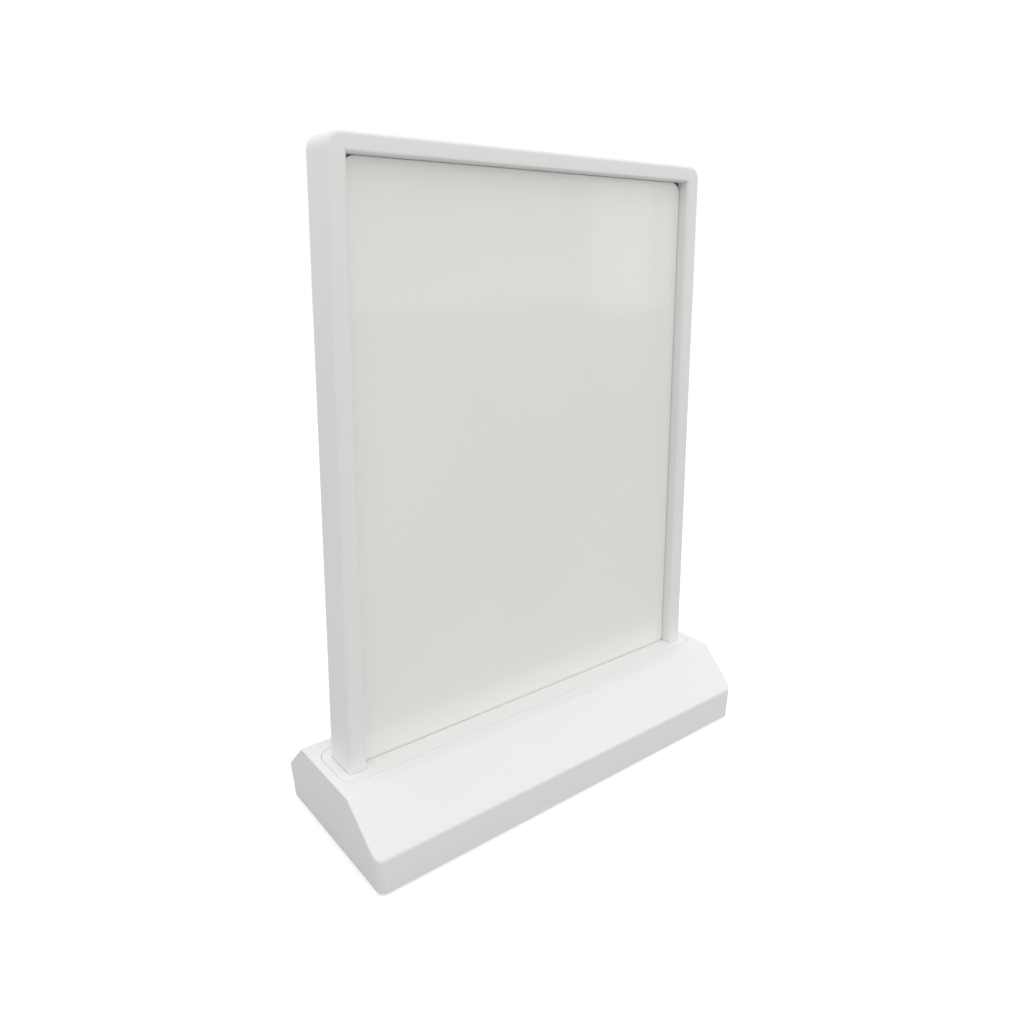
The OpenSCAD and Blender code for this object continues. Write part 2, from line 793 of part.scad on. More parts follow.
// Reflecting tape on the light guide's two sides and top
module edge_reflector() {
    outer = guide_inset - seat_gap / 2 - reflector_t;
    color(WHITE) along_y(-guide_t / 2, guide_t / 2) difference() {
        polygon(frame_outline(outer, guide_low));
        polygon(frame_outline(guide_inset - seat_gap / 2, guide_low - eps));
    }
}

module led_rail() {
    color(WHITE) difference() {
        union() {
            block(2 * (leg_in - seat_gap), 2 * sheet_out, rail_low, rail_h);
            block(2 * tongue_x, 2 * tongue_half, rail_low, guide_low - seat_gap - rail_low);
        }
        block(2 * (leg_in + eps), guide_t + 2 * seat_gap, strip_low, rail_h);
        for (side = [-1, 1]) {
            translate([side * pin_pitch / 2, 0, 0]) cylinder(h = strip_low + eps, d = pin_d + seat_gap);
            translate([side * (frame_w / 2 + eps), 0, rail_screw_z]) rotate([0, -side * 90, 0]) {
                cylinder(h = rail_screw_l + 2 * eps, d = screw_d + seat_gap);
            }
        }
    }
}

module rail_screws() {
    color(STEEL) for (side = [-1, 1]) translate([side * frame_w / 2, 0, rail_screw_z]) {
        rotate([0, -side * 90, 0]) flat_screw(rail_screw_l);
    }
}

module led_strip() {
    color(GREEN) block(2 * strip_half, guide_t, strip_low, strip_t);
}

module led_lamps() {
    reach = strip_half - lamp_l;
    count = floor(2 * reach / lamp_pitch);
    color("#f2e6a0") for (i = [0:count]) {
        translate([(i - count / 2) * lamp_pitch, 0, 0]) block(lamp_l, lamp_w, strip_top, lamp_h);
    }
}

module contact_pins() {
    color(BRASS) for (side = [-1, 1]) {
        translate([side * pin_pitch / 2, 0, pin_low]) cylinder(h = strip_low - pin_low, d = pin_d);
    }
}

base_housing();
panel_socket();
socket_screws();
contact_sleeves();
bottom_cover();
cover_screws();
rubber_feet();
battery_pad();
battery_tray();
battery_cells();
battery_tabs();
battery_leads();
control_board();
board_screws();
board_chips();
lead_connectors();
lamp_leads();
usb_shell();
usb_tongue();
switch_body();
charge_led();
light_pipe();
panel_frame();
front_sheet();
rear_sheet();
front_tape();
rear_tape();
light_guide();
edge_reflector();
led_rail();
rail_screws();
led_strip();
led_lamps();
contact_pins();
power_button();
switch_plunger();
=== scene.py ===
# %% [markdown]
# # A tabletop light panel
# A white frame holds two glossy opal sheets with a row of lamps under them, and stands in a socket in a
# wedge-sided base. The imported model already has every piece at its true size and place, in metres. This
# lesson rounds the pieces that are seen and gives every piece its finish. The camera and the light come
# first, because each finish is judged through them.

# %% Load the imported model
import json
import math

import bmesh
import bpy
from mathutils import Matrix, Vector


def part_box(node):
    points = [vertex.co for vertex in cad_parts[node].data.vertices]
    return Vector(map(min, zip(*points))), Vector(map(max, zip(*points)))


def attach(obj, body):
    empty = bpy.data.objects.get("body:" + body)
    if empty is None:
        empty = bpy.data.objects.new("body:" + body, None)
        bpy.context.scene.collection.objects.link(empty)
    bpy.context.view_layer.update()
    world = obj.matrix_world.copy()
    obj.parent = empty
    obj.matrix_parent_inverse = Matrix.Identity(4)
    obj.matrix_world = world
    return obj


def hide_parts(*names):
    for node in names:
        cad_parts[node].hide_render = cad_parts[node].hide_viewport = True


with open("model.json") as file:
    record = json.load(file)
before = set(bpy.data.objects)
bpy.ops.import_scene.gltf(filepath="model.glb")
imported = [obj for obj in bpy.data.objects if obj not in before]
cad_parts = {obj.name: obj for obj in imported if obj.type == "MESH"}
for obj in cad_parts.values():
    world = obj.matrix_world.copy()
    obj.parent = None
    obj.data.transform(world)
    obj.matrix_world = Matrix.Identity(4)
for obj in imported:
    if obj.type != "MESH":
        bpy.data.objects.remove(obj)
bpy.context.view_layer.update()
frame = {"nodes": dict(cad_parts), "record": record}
nodes = frame["nodes"]

# %% [markdown]
# ## Camera
# The object was seen from its front left, a little above the middle, with a wide lens close by. A
# camera can be set by eye, but here its place, turn and lens were worked out from the object's straight
# edges, so the numbers are simply written down. The shift moves the picture without tilting the
# uprights.

# %% Set the camera
scene = bpy.context.scene
scene.view_settings.view_transform = "Standard"
lens = bpy.data.cameras.new("photo_camera")
lens.lens = 28.827
lens.shift_x = 0.0106
lens.shift_y = -0.0912
lens.clip_start = 0.01
camera = bpy.data.objects.new("photo_camera", lens)
camera.location = (-0.19028, -0.2293, 0.19266)
camera.rotation_euler = (math.radians(79.179), 0, math.radians(-37.641))
scene.collection.objects.link(camera)
scene.camera = camera
print("camera lens", round(lens.lens, 2), "mm")

# %% [markdown]
# ## Light
# White plastic shows its shape only by small steps of grey, so the light is broad and soft: a pale
# world lights the object evenly from all round. What the camera sees of the world, straight, mirrored
# or through clear plastic, is a separate white, which puts no more light on the object.

# %% Light the studio
AMBIENT = 0.975
BACKDROP_WHITE = 1.0


def light_path_switch(tree, *kinds):
    """A value that is 1 for rays of the named kinds and 0 for light that falls on the object."""
    path = tree.nodes.new("ShaderNodeLightPath")
    value = path.outputs[kinds[0]]
    for kind in kinds[1:]:
        either = tree.nodes.new("ShaderNodeMath")
        either.operation = "MAXIMUM"
        tree.links.new(value, either.inputs[0])
        tree.links.new(path.outputs[kind], either.inputs[1])
        value = either.outputs["Value"]
    return value


world = bpy.data.worlds.new("studio")
world.use_nodes = True
scene.world = world
sky = world.node_tree
ambient = sky.nodes["Background"]
backdrop = sky.nodes.new("ShaderNodeBackground")
for light, strength in ((ambient, AMBIENT), (backdrop, BACKDROP_WHITE)):
    light.inputs["Color"].default_value = (1, 1, 1, 1)
    light.inputs["Strength"].default_value = strength
seen = light_path_switch(sky, "Is Camera Ray", "Is Glossy Ray", "Is Transmission Ray")
choice = sky.nodes.new("ShaderNodeMixShader")
sky.links.new(seen, choice.inputs["Fac"])
sky.links.new(ambient.outputs["Background"], choice.inputs[1])
sky.links.new(backdrop.outputs["Background"], choice.inputs[2])
sky.links.new(choice.outputs["Shader"], sky.nodes["World Output"].inputs["Surface"])
print("world strength", AMBIENT)

# %% [markdown]
# One large lamp high above the front makes the upward faces the brightest. The glossy sheet mirrors
# what stands opposite, so a narrow window is hung to the right, too weak to light anything else.

# %% Hang the lamps
def soft_lamp(name, place, target, width, height, power):
    """A rectangular lamp that faces the target and stays out of the picture."""
    lamp = bpy.data.lights.new(name, "AREA")
    lamp.shape = "RECTANGLE"
    lamp.size = width
    lamp.size_y = height
    lamp.energy = power
    holder = bpy.data.objects.new(name, lamp)
    holder.location = place
    holder.rotation_euler = (Vector(target) - Vector(place)).to_track_quat("-Z", "Y").to_euler()
    holder.visible_camera = False
    scene.collection.objects.link(holder)


panel_middle = (0, 0, 0.1)
soft_lamp("overhead_lamp", (-0.05, -0.3, 1.15), panel_middle, width=0.5, height=0.5, power=1.62)
soft_lamp("window", (0.7325, -0.6734, 0.21), panel_middle, width=0.087, height=0.2, power=0.027)

# %% [markdown]
# ## Floor
# The object stands on a plain pale floor. A plain diffuse floor would look grey beside white plastic,
# so a little glow is added for what the camera sees straight or through clear plastic. Mirrored, the
# floor stays darker than the white above it, which draws the soft horizon in the glossy sheet. The
# object's shadow still darkens it.

# %% Lay the floor
FLOOR_REACH = 2.6
floor_mesh = bpy.data.meshes.new("floor")
square = bmesh.new()
bmesh.ops.create_grid(square, x_segments=1, y_segments=1, size=FLOOR_REACH)
square.to_mesh(floor_mesh)
square.free()
floor = bpy.data.objects.new("floor", floor_mesh)
scene.collection.objects.link(floor)
print("floor", floor.dimensions.x, "m square")

# %% Give the floor its finish
FLOOR_GREY = (0.45, 0.45, 0.45)
FLOOR_GLOW = 0.66
floor_finish = bpy.data.materials.new("floor_finish")
floor_finish.use_nodes = True
floor_tree = floor_finish.node_tree
floor_tree.nodes.remove(floor_tree.nodes["Principled BSDF"])
matt = floor_tree.nodes.new("ShaderNodeBsdfDiffuse")
matt.inputs["Color"].default_value = (*FLOOR_GREY, 1)
glow = floor_tree.nodes.new("ShaderNodeEmission")
both = floor_tree.nodes.new("ShaderNodeAddShader")
amount = floor_tree.nodes.new("ShaderNodeMath")
amount.operation = "MULTIPLY"
amount.inputs[1].default_value = FLOOR_GLOW
seen = light_path_switch(floor_tree, "Is Camera Ray", "Is Transmission Ray")
floor_tree.links.new(seen, amount.inputs[0])
floor_tree.links.new(amount.outputs["Value"], glow.inputs["Strength"])
floor_tree.links.new(matt.outputs["BSDF"], both.inputs[0])
floor_tree.links.new(glow.outputs["Emission"], both.inputs[1])
floor_tree.links.new(both.outputs["Shader"], floor_tree.nodes["Material Output"].inputs["Surface"])
floor_mesh.materials.append(floor_finish)
print("floor glow", FLOOR_GLOW)

# %% [markdown]
# ## Finishes: the tools
# Every finish starts from the Principled shader. Its plain numbers are set on the shader itself, and
# what changes over the surface comes from noise on the piece's own coordinates, so it stays on the
# piece when the piece moves.

# %% Start a finish
finishes = {}


def shader_input(material, name):
    """One input of a finish's Principled shader."""
    return material.node_tree.nodes["Principled BSDF"].inputs[name]


def new_finish(slot, color, roughness, metallic=0.0):
    """A Principled finish for one material slot of the record, plain all over to begin with."""
    material = bpy.data.materials.new(slot)
    material.use_nodes = True
    shader_input(material, "Base Color").default_value = (*color, 1)
    shader_input(material, "Roughness").default_value = roughness
    shader_input(material, "Metallic").default_value = metallic
    finishes[slot] = material
    return material


print("finishes so far:", len(finishes))

# %% [markdown]
# Noise has no size of its own, so a helper scales it: the size of its spots is given in metres, and a
# stretch below 1 draws them out along an axis.

# %% Make noise
def own_place(material):
    """The coordinates of the piece itself, in metres."""
    return material.node_tree.nodes.new("ShaderNodeTexCoord").outputs["Object"]


def noise(material, size, detail=2.0, stretch=(1, 1, 1)):
    """Noise whose spots are about one size across, in metres, drawn out where stretch is below 1."""
    tree = material.node_tree
    mapping = tree.nodes.new("ShaderNodeMapping")
    mapping.inputs["Scale"].default_value = stretch
    spots = tree.nodes.new("ShaderNodeTexNoise")
    spots.inputs["Scale"].default_value = 1 / size
    spots.inputs["Detail"].default_value = detail
    tree.links.new(own_place(material), mapping.inputs["Vector"])
    tree.links.new(mapping.outputs["Vector"], spots.inputs["Vector"])
    return spots.outputs["Fac"]


print("noise is laid on each piece's own coordinates")

# %% [markdown]
# Three small helpers spread a pattern over the colour, the roughness and the height. Most of the noise
# lies between 0.3 and 0.7, so that is the span that they draw out.

# %% Spread a pattern over a finish
NOISE_LOW, NOISE_HIGH = 0.3, 0.7


def tint(material, source, low, high, start=NOISE_LOW, end=NOISE_HIGH):
    """Base colour from low to high as the source goes from start to end."""
    tree = material.node_tree
    ramp = tree.nodes.new("ShaderNodeValToRGB")
    for stop, place, color in zip(ramp.color_ramp.elements, (start, end), (low, high)):
        stop.position = place
        stop.color = (*color, 1)
    tree.links.new(source, ramp.inputs["Fac"])
    tree.links.new(ramp.outputs["Color"], shader_input(material, "Base Color"))


def gloss(material, source, low, high):
    """Roughness from low to high over the span of the noise."""
    tree = material.node_tree
    spread = tree.nodes.new("ShaderNodeMapRange")
    spread.inputs["From Min"].default_value = NOISE_LOW
    spread.inputs["From Max"].default_value = NOISE_HIGH
    spread.inputs["To Min"].default_value = low
    spread.inputs["To Max"].default_value = high
    tree.links.new(source, spread.inputs["Value"])
    tree.links.new(spread.outputs["Result"], shader_input(material, "Roughness"))


def relief(material, source, height):
    """Bumps of about this height, in metres."""
    tree = material.node_tree
    bump = tree.nodes.new("ShaderNodeBump")
    bump.inputs["Strength"].default_value = 1.0
    bump.inputs["Distance"].default_value = height
    tree.links.new(source, bump.inputs["Height"])
    tree.links.new(bump.outputs["Normal"], shader_input(material, "Normal"))


print("patterns spread from", NOISE_LOW, "to", NOISE_HIGH)

# %% [markdown]
# ## White plastics
# The base is a satin moulding: a fine spark texture from its mould breaks up the shine. The frame is
# smoother. Both are nearly white, with a very slight change of tone over a few centimetres, as thick
# mouldings have.

# %% Shell and frame finishes
shell = new_finish("white_shell", (0.87, 0.87, 0.868), roughness=0.5)
tint(shell, noise(shell, size=0.06), low=(0.86, 0.86, 0.858), high=(0.882, 0.882, 0.88))
gloss(shell, noise(shell, size=0.02), low=0.46, high=0.56)
relief(shell, noise(shell, size=0.0004, detail=3), height=0.000004)

rails = new_finish("white_frame", (0.85, 0.85, 0.845), roughness=0.42)
tint(rails, noise(rails, size=0.07), low=(0.84, 0.84, 0.835), high=(0.86, 0.86, 0.855))
gloss(rails, noise(rails, size=0.025), low=0.38, high=0.47)
relief(rails, noise(rails, size=0.0003, detail=3), height=0.0000025)
print("white finishes:", ", ".join(finishes))

# %% [markdown]
# ## Opal sheet
# The sheets are glossy acrylic, pale grey with a touch of green while the lamps are off. The gloss must
# stay sharp, so the surface gets no grain, only the long shallow waves of a cast sheet that bend its
# reflections.

# %% Opal finish
ACRYLIC_IOR = 1.49
opal = new_finish("opal_sheet", (0.865, 0.89, 0.83), roughness=0.05)
shader_input(opal, "IOR").default_value = ACRYLIC_IOR
tint(opal, noise(opal, size=0.08, detail=1), low=(0.856, 0.882, 0.822), high=(0.876, 0.897, 0.842))
gloss(opal, noise(opal, size=0.03, detail=1), low=0.03, high=0.06)
relief(opal, noise(opal, size=0.05, detail=0), height=0.00004)
print("opal IOR", ACRYLIC_IOR)

# %% [markdown]
# ## Clear plastics
# The light guide is clear acrylic with a fine field of etched dots that let the light out, and the
# charge light's pipe is the same plastic, frosted. Both use the shader's transmission, and the dots are
# a cell pattern that only changes the roughness.

# %% Clear finishes
DOTS_PER_METRE = 700
guide = new_finish("guide_clear", (0.93, 0.97, 0.95), roughness=0.05)
dots = guide.node_tree.nodes.new("ShaderNodeTexVoronoi")
dots.inputs["Scale"].default_value = DOTS_PER_METRE
guide.node_tree.links.new(own_place(guide), dots.inputs["Vector"])
gloss(guide, dots.outputs["Distance"], low=0.35, high=0.03)

pipe = new_finish("pipe_clear", (0.86, 0.9, 0.88), roughness=0.3)
gloss(pipe, noise(pipe, size=0.0006), low=0.25, high=0.4)

for clear, clearness in ((guide, 1.0), (pipe, 0.7)):
    shader_input(clear, "Transmission Weight").default_value = clearness
    shader_input(clear, "IOR").default_value = ACRYLIC_IOR
    print(clear.name, "lets through", clearness)

# %% [markdown]
# ## Soft and dark pieces
# Rubber feet, the foam pad, tape, leads, lamps and the small black and natural plastics need little:
# each has a darker and a lighter tone, a grain of the right size and height, and its own span of
# roughness.

# %% Rubber, foam, tape and small plastics
for slot, low, high, grain, height, dull in (
    ("foot_rubber", (0.025, 0.025, 0.027), (0.05, 0.05, 0.053), 0.0007, 0.00002, (0.72, 0.9)),
    ("pad_foam", (0.03, 0.03, 0.033), (0.09, 0.09, 0.095), 0.0009, 0.00012, (0.9, 1.0)),
    ("tape_white", (0.8, 0.8, 0.78), (0.88, 0.88, 0.86), 0.0012, 0.00001, (0.6, 0.8)),
    ("black_plastic", (0.02, 0.02, 0.022), (0.036, 0.036, 0.039), 0.0005, 0.00001, (0.4, 0.55)),
    ("connector_plastic", (0.72, 0.7, 0.64), (0.8, 0.78, 0.72), 0.0008, 0.000008, (0.4, 0.55)),
    ("lead_skin", (0.36, 0.02, 0.02), (0.46, 0.035, 0.03), 0.0015, 0.000006, (0.35, 0.5)),
    ("lead_black", (0.018, 0.018, 0.02), (0.03, 0.03, 0.033), 0.0015, 0.000006, (0.35, 0.5)),
    ("lamp_phosphor", (0.8, 0.62, 0.2), (0.92, 0.78, 0.36), 0.0006, 0.000006, (0.25, 0.4)),
):
    material = new_finish(slot, high, roughness=dull[0])
    tint(material, noise(material, grain, detail=3), low, high)
    gloss(material, noise(material, 3 * grain), *dull)
    relief(material, noise(material, grain, detail=3), height)
print("finishes so far:", len(finishes))

# %% [markdown]
# ## Metals
# Screws, the port's shell and the contacts are bare metal. Fine scratches run one way on drawn and
# turned metal, so the noise is drawn out along one axis. It changes the tone and the roughness a little
# and gives a very low relief.

# %% Steel and brass
SCRATCH_WIDTH = 0.0004
SCRATCH_DEPTH = 0.000003
SCRATCH_TONE = 0.9
for slot, color, rough, stretch in (
    ("screw_steel", (0.6, 0.61, 0.63), (0.24, 0.4), (1, 1, 0.2)),
    ("port_steel", (0.66, 0.67, 0.69), (0.2, 0.34), (1, 0.06, 1)),
    ("contact_brass", (0.78, 0.58, 0.25), (0.18, 0.32), (1, 1, 0.1)),
):
    metal = new_finish(slot, color, roughness=rough[0], metallic=1.0)
    streaks = noise(metal, SCRATCH_WIDTH, detail=3, stretch=stretch)
    tint(metal, streaks, [SCRATCH_TONE * part for part in color], color)
    gloss(metal, streaks, *rough)
    relief(metal, streaks, SCRATCH_DEPTH)
    print(slot, "streaked along", "xyz"[stretch.index(min(stretch))])

# %% [markdown]
# ## Battery
# The cells wear a blue shrink sleeve that stops short of their outer ends, where the bare can shows, so
# the colour follows the distance from the middle.

# %% Cell finish
SLEEVE_BLUE = (0.03, 0.1, 0.33)
BARE_CAN = (0.62, 0.63, 0.65)
cell_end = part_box("battery_cells")[1].x
cell = new_finish("cell_can", SLEEVE_BLUE, roughness=0.3)
cell_tree = cell.node_tree
split = cell_tree.nodes.new("ShaderNodeSeparateXYZ")
reach = cell_tree.nodes.new("ShaderNodeMath")
reach.operation = "ABSOLUTE"
along = cell_tree.nodes.new("ShaderNodeMapRange")
along.inputs["From Max"].default_value = cell_end
cell_tree.links.new(own_place(cell), split.inputs["Vector"])
cell_tree.links.new(split.outputs["X"], reach.inputs[0])
cell_tree.links.new(reach.outputs["Value"], along.inputs["Value"])
tint(cell, along.outputs["Result"], SLEEVE_BLUE, BARE_CAN, start=0.975, end=0.98)
gloss(cell, noise(cell, size=0.004), low=0.22, high=0.36)
relief(cell, noise(cell, size=0.006), height=0.00004)
print("cells end at x", round(cell_end, 4))

# %% [markdown]
# ## Boards
# The boards are green, with tracks that a brick pattern draws as thin paler lines under the lacquer.

# %% Board finish
LACQUER = (0.012, 0.09, 0.04)
LACQUER_DARK = (0.01, 0.075, 0.033)
TRACK = (0.04, 0.2, 0.09)
board = new_finish("board_green", LACQUER, roughness=0.3)
tracks = board.node_tree.nodes.new("ShaderNodeTexBrick")
tracks.inputs["Scale"].default_value = 130
tracks.inputs["Mortar Size"].default_value = 0.03
for name, color in (("Color1", LACQUER), ("Color2", LACQUER_DARK), ("Mortar", TRACK)):
    tracks.inputs[name].default_value = (*color, 1)
board.node_tree.links.new(own_place(board), tracks.inputs["Vector"])
board.node_tree.links.new(tracks.outputs["Color"], shader_input(board, "Base Color"))
gloss(board, noise(board, size=0.003), low=0.2, high=0.35)
print("finishes in all:", len(finishes))

# %% [markdown]
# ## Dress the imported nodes
# The record says which slot each node takes. Every node gets its finish here, also the ones that a
# rounded piece will stand for later.

# %% Give every node its finish
slot_of = {part["node"]: part["material_slot"] for part in frame["record"]["subparts"]}
for name, node in nodes.items():
    for holder in node.material_slots:
        holder.material = finishes[slot_of[name]]
print("dressed", len(nodes), "nodes in", len(set(slot_of.values())), "finishes")

# %% [markdown]
# ## Base shell
# The base is a hollow moulding with a short upright lip, two slopes and a flat top. It could be cut
# from a block, but its section is only six points, so it starts as a bar: an outline pulled along one
# axis.

# %% Pull an outline into a bar
AXES = {"x": Vector((1, 0, 0)), "y": Vector((0, 1, 0)), "z": Vector((0, 0, 1))}


def point_at(axis, along, a, b):
    """A point at a height along an axis; a and b are its other two coordinates, in x, y, z order."""
    return {"x": (along, a, b), "y": (a, along, b), "z": (a, b, along)}[axis]


def bar(outline, axis, start, stop):
    """An outline drawn across an axis at start and pulled to stop."""
    shape = bmesh.new()
    face = shape.faces.new([shape.verts.new(point_at(axis, start, a, b)) for a, b in outline])
    pulled = bmesh.ops.extrude_face_region(shape, geom=[face])["geom"]
    far_end = [part for part in pulled if isinstance(part, bmesh.types.BMVert)]
    bmesh.ops.translate(shape, verts=far_end, vec=AXES[axis] * (stop - start))
    bmesh.ops.recalc_face_normals(shape, faces=shape.faces)
    return shape


base_low, base_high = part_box("base_housing")
foot_half = 0.085
lip_z = 0.0125
top_half = 0.017
section = [(-base_high.y, base_low.z), (base_high.y, base_low.z), (base_high.y, lip_z),
           (top_half, base_high.z), (-top_half, base_high.z), (-base_high.y, lip_z)]
base = bar(section, "x", -foot_half, foot_half)
print("base bar", 2 * foot_half, "m long,", len(base.faces), "faces")

# %% [markdown]
# The two ends lean out a little towards the top, so their points move out in step with their height.
# The underside is taken off, and solidify gives an even wall.

# %% Lean the ends and give the base its wall
DOWNWARD = -0.9
wall = 0.0022
lean = base_high.x - foot_half
for vert in base.verts:
    vert.co.x += math.copysign(lean * vert.co.z / base_high.z, vert.co.x)
underside = [face for face in base.faces if face.normal.z < DOWNWARD]
bmesh.ops.delete(base, geom=underside, context="FACES")
bmesh.ops.solidify(base, geom=base.faces[:], thickness=wall)
bmesh.ops.recalc_face_normals(base, faces=base.faces)
print("base wall", wall, "m,", len(base.faces), "faces")

# %% [markdown]
# Moulded pieces have no sharp edges. Their edges are picked by where the ends lie, which way they run
# and how sharp they are, and a bevel rounds them.

# %% Pick and round edges
TOUCH = 1e-5
ALIGNED = 0.99


def near(a, b):
    """Whether two measures are the same but for rounding."""
    return abs(a - b) < TOUCH


def edges_where(shape, test):
    """The edges whose two ends both pass a test on their coordinates."""
    return [edge for edge in shape.edges if all(test(vert.co) for vert in edge.verts)]


def edges_along(shape, axis, test):
    """Those of them that run along an axis."""
    return [edge for edge in edges_where(shape, test)
            if abs((edge.verts[0].co - edge.verts[1].co).normalized().dot(AXES[axis])) > ALIGNED]


def is_sharp(edge, degrees=50):
    """Whether the two faces at an edge turn by more than an angle."""
    return edge.is_manifold and edge.calc_face_angle() > math.radians(degrees)


def soften(shape, edges, radius, segments, clamp=False):
    """Rounds the edges; clamp stops the rounds where they would run into each other."""
    bmesh.ops.bevel(shape, geom=edges, offset=radius, offset_type="OFFSET", segments=segments,
                    profile=0.5, affect="EDGES", clamp_overlap=clamp, material=-1)


print("base edges:", len(base.edges), "of them sharp:", sum(is_sharp(edge) for edge in base.edges))

# %% [markdown]
# The upright edges at the base's ends are rounded widely, the rest tightly. The long rounds run into
# the end rounds at the lip's corners, and doing the wide upright rounds first leaves a clean curve
# there for the tight ones to follow.

# %% Round the base
above_foot = base_low.z + 0.001
uprights = edges_along(base, "z", lambda co: near(abs(co.y), base_high.y))
soften(base, uprights, radius=0.0025, segments=6)
crests = [edge for edge in edges_where(base, lambda co: co.z > above_foot)
          if edge.is_convex and is_sharp(edge, degrees=20)]
soften(base, crests, radius=0.0006, segments=4)
print("rounded", len(uprights), "uprights and", len(crests), "crest edges")

# %% [markdown]
# ## The base's openings
# The top has a round-cornered opening that takes the socket's plate, with a fine seam all round. It is
# cut by a second shape, here a block with rounded corners.

# %% Make the plate's cutter
CORNER_SEGMENTS = 8


def round_block(half_x, half_y, radius, low, high, centre=(0, 0), axis="z"):
    """A block whose four long edges are rounded."""
    a, b = centre
    block = bar([(a - half_x, b - half_y), (a + half_x, b - half_y), (a + half_x, b + half_y),
                 (a - half_x, b + half_y)], axis, low, high)
    soften(block, edges_along(block, axis, lambda co: True), radius, CORNER_SEGMENTS)
    return block


rails_low, rails_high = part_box("panel_frame")
plate_rim = 0.004
plate_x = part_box("panel_socket")[1].x
plate_y = rails_high.y + plate_rim
plate_r = 0.005
seam = 0.00013
through = 2 * wall
plate_cutter = round_block(plate_x + seam, plate_y + seam, plate_r + seam,
                           base_high.z - through, base_high.z + wall)
print("plate opening", round(2 * plate_x, 4), "by", round(2 * plate_y, 4), "m")

# %% [markdown]
# A boolean modifier takes the cutter out. It needs objects, so both shapes become objects for a moment.
# It can leave a few doubled points and thin slivers, which are cleaned up at once.

# %% Carve the opening for the plate
MERGE = 1e-7


def carve(shape, cutter):
    """Takes the cutter's shape out of the first one."""
    pair = []
    for role, source in (("body", shape), ("cutter", cutter)):
        mesh = bpy.data.meshes.new(role)
        source.to_mesh(mesh)
        source.free()
        pair.append(bpy.data.objects.new(role, mesh))
        scene.collection.objects.link(pair[-1])
    cut = pair[0].modifiers.new("cut", "BOOLEAN")
    cut.operation = "DIFFERENCE"
    cut.solver = "EXACT"
    cut.object = pair[1]
    carved = bmesh.new()
    carved.from_object(pair[0], bpy.context.evaluated_depsgraph_get())
    for thing in pair:
        bpy.data.meshes.remove(thing.data)
    bmesh.ops.remove_doubles(carved, verts=carved.verts, dist=MERGE)
    bmesh.ops.dissolve_degenerate(carved, dist=MERGE, edges=carved.edges)
    return carved


base = carve(base, plate_cutter)
print("base with its opening:", len(base.faces), "faces")

# %% [markdown]
# The rear lip has three openings. The one for the charging port is long with rounded ends, so the same
# kind of block cuts it.

# %% Carve the port's opening
rear = base_high.y
port_low, port_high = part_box("usb_shell")
port = (port_low + port_high) / 2
port_half = (port_high - port_low) / 2
play = 0.00035
base = carve(base, round_block(port_half.x + play, port_half.z + play, port_half.z,
                               rear - through, rear + wall, (port.x, port.z), "y"))
print("port opening at x", round(port.x, 4))

# %% [markdown]
# The openings for the charge light and the button are round, and a shallow dish lies round the button.
# They are cut by a profile that is turned once round an axis.

# %% Carve the round openings
TURN_STEPS = 48


def turned(profile, axis, centre):
    """A profile of (radius, height) points turned once round an axis through the centre."""
    shape = bmesh.new()
    side = AXES["x" if axis != "x" else "y"]
    points = [shape.verts.new(Vector(centre) + side * r + AXES[axis] * h) for r, h in profile]
    edges = [shape.edges.new(pair) for pair in zip(points, points[1:])]
    bmesh.ops.spin(shape, geom=points + edges, cent=centre, axis=AXES[axis], angle=2 * math.pi,
                   steps=TURN_STEPS, use_merge=True)
    bmesh.ops.remove_doubles(shape, verts=shape.verts, dist=MERGE)
    bmesh.ops.recalc_face_normals(shape, faces=shape.faces)
    return shape


button_low, button_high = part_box("power_button")
button = (button_low + button_high) / 2
pipe_low, pipe_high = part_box("light_pipe")
pipe_mid = (pipe_low + pipe_high) / 2
button_hole_r = 0.0028
dish_r, dish_depth = 0.0035, 0.0008
pipe_hole_r = 0.00125
for centre, radius, depth in (
    (button, button_hole_r, through),
    (button, dish_r, dish_depth),
    (pipe_mid, pipe_hole_r, through),
):
    hole = turned([(0, -depth), (radius, -depth), (radius, wall), (0, wall)], "y",
                  (centre.x, rear, centre.z))
    base = carve(base, hole)
print("round openings at x", round(pipe_mid.x, 4), "and", round(button.x, 4))

# %% [markdown]
# ## Screw bosses
# The screws of the cover, the socket's ears and the board bite into small tubes that hang from the
# shell's roof. Near the front and the rear a tube meets the slope, so it is cut off inside the slope's
# wall there and closed again.

# %% Make a boss
BOSS_R, BORE_R = 0.0025, 0.00105
slope = Vector((0, base_high.z - lip_z, base_high.y - top_half)).normalized()


def all_of(shape):
    """Every point, edge and face of a shape."""
    return shape.verts[:] + shape.edges[:] + shape.faces[:]


def boss(x, y, low, high):
    """A tube between two heights, cut off in the middle of the slope's wall where it reaches that far."""
    tube = turned([(BORE_R, low), (BOSS_R, low), (BOSS_R, high), (BORE_R, high), (BORE_R, low)], "z",
                  (x, y, 0))
    outward = Vector((0, math.copysign(slope.y, y), slope.z))
    lip_edge = Vector((0, math.copysign(base_high.y, y), lip_z))
    bmesh.ops.bisect_plane(tube, geom=all_of(tube), plane_co=lip_edge - outward * wall / 2,
                           plane_no=outward, clear_outer=True)
    open_rim = [edge for edge in tube.edges if edge.is_boundary]
    if open_rim:
        bmesh.ops.triangle_fill(tube, edges=open_rim, use_beauty=True)
        bmesh.ops.recalc_face_normals(tube, faces=tube.faces)
    return tube


print("the slope leans", round(math.degrees(math.atan2(slope.y, slope.z)), 1), "degrees")

# %% [markdown]
# The bosses stand where the screws are: five for the cover, four for the socket's ears and two for the
# board. Those of the ears start higher and end just inside the roof.

